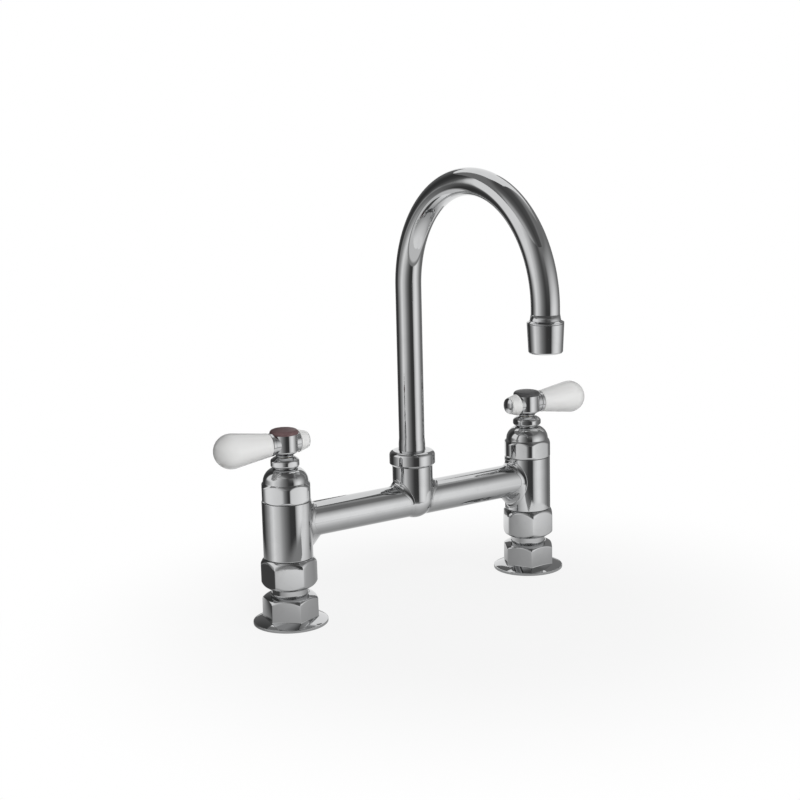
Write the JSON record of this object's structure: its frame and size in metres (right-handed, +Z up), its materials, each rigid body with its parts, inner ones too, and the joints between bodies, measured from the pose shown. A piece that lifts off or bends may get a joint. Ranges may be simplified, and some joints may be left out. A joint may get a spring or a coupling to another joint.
{
  "type": "bridge sink faucet",
  "caption": "Deck-mounted bridge faucet for a bathroom sink, with a swivelling gooseneck spout, tapered aerator and ceramic lever handles on hexagonal bonnets.",
  "frame": {"origin": "on the deck plane, below the middle of the whole faucet: midway between the two inlets in X, and midway in Y between the back of the deck flanges and the front of the aerator, so the inlets and the swivel axis stand at y = 0.066725 m", "axes": "+Z up along the swivel axis, +X from the hot inlet to the cold inlet, -Y from the swivel axis to the outlet over the basin"},
  "size_m": [0.3056, 0.1838, 0.3],
  "materials": {
    "chrome_plate": "polished chrome plate over brass",
    "bare_brass": "machined",
    "seal_rubber": "matt black",
    "nylon": "moulded, natural white",
    "stainless": "bright stainless",
    "disc_ceramic": "lapped alumina",
    "white_glaze": "glossy white glaze",
    "hot_index": "dull dark red, smooth",
    "cold_index": "dark grey, smooth"
  },
  "bodies": {
    "body": {"faucet_body": "chrome_plate", "swivel_nut": "chrome_plate", "lower_glide_ring": "nylon", "upper_glide_ring": "nylon", "hot_inlet_flange": "chrome_plate", "hot_union_nut": "chrome_plate", "hot_inlet_washer": "seal_rubber", "hot_seat_seal": "seal_rubber", "hot_cartridge_sleeve": "bare_brass", "hot_fixed_disc": "disc_ceramic", "hot_bonnet": "chrome_plate", "hot_bonnet_washer": "seal_rubber", "hot_packing_ring": "nylon", "hot_packing_gland": "bare_brass", "hot_packing_nut": "chrome_plate", "cold_inlet_flange": "chrome_plate", "cold_union_nut": "chrome_plate", "cold_inlet_washer": "seal_rubber", "cold_seat_seal": "seal_rubber", "cold_cartridge_sleeve": "bare_brass", "cold_fixed_disc": "disc_ceramic", "cold_bonnet": "chrome_plate", "cold_bonnet_washer": "seal_rubber", "cold_packing_ring": "nylon", "cold_packing_gland": "bare_brass", "cold_packing_nut": "chrome_plate"},
    "spout": {"gooseneck_tube": "chrome_plate", "spout_sleeve": "chrome_plate", "spout_o_rings": "seal_rubber", "outlet_ferrule": "chrome_plate", "aerator_housing": "chrome_plate", "aerator_insert": "nylon", "aerator_screen": "stainless", "aerator_washer": "seal_rubber"},
    "hot_handle": {"hot_spindle": "bare_brass", "hot_moving_disc": "disc_ceramic", "hot_spindle_seal": "seal_rubber", "hot_snap_ring": "stainless", "hot_handle_hub": "chrome_plate", "hot_handle_screw": "stainless", "hot_index_button": "hot_index", "hot_lever_stud": "bare_brass", "hot_grip_ferrule": "chrome_plate", "hot_lever_grip": "white_glaze", "hot_stub_sleeve": "white_glaze", "hot_stub_cap": "chrome_plate"},
    "cold_handle": {"cold_spindle": "bare_brass", "cold_moving_disc": "disc_ceramic", "cold_spindle_seal": "seal_rubber", "cold_snap_ring": "stainless", "cold_handle_hub": "chrome_plate", "cold_handle_screw": "stainless", "cold_index_button": "cold_index", "cold_lever_stud": "bare_brass", "cold_grip_ferrule": "chrome_plate", "cold_lever_grip": "white_glaze", "cold_stub_sleeve": "white_glaze", "cold_stub_cap": "chrome_plate"}
  },
  "joints": [
    {"name": "spout_swivel", "type": "hinge", "parent": "body", "child": "spout", "pos_m": [0, 0.06673, 0.09], "axis": [0, 0, 1], "continuous": true},
    {"name": "hot_handle_turn", "type": "hinge", "parent": "body", "child": "hot_handle", "pos_m": [-0.1016, 0.06673, 0.12], "axis": [0, 0, 1], "range_deg": [0, 90]},
    {"name": "cold_handle_turn", "type": "hinge", "parent": "body", "child": "cold_handle", "pos_m": [0.1016, 0.06673, 0.12], "axis": [0, 0, 1], "range_deg": [-90, 0]}
  ]
}
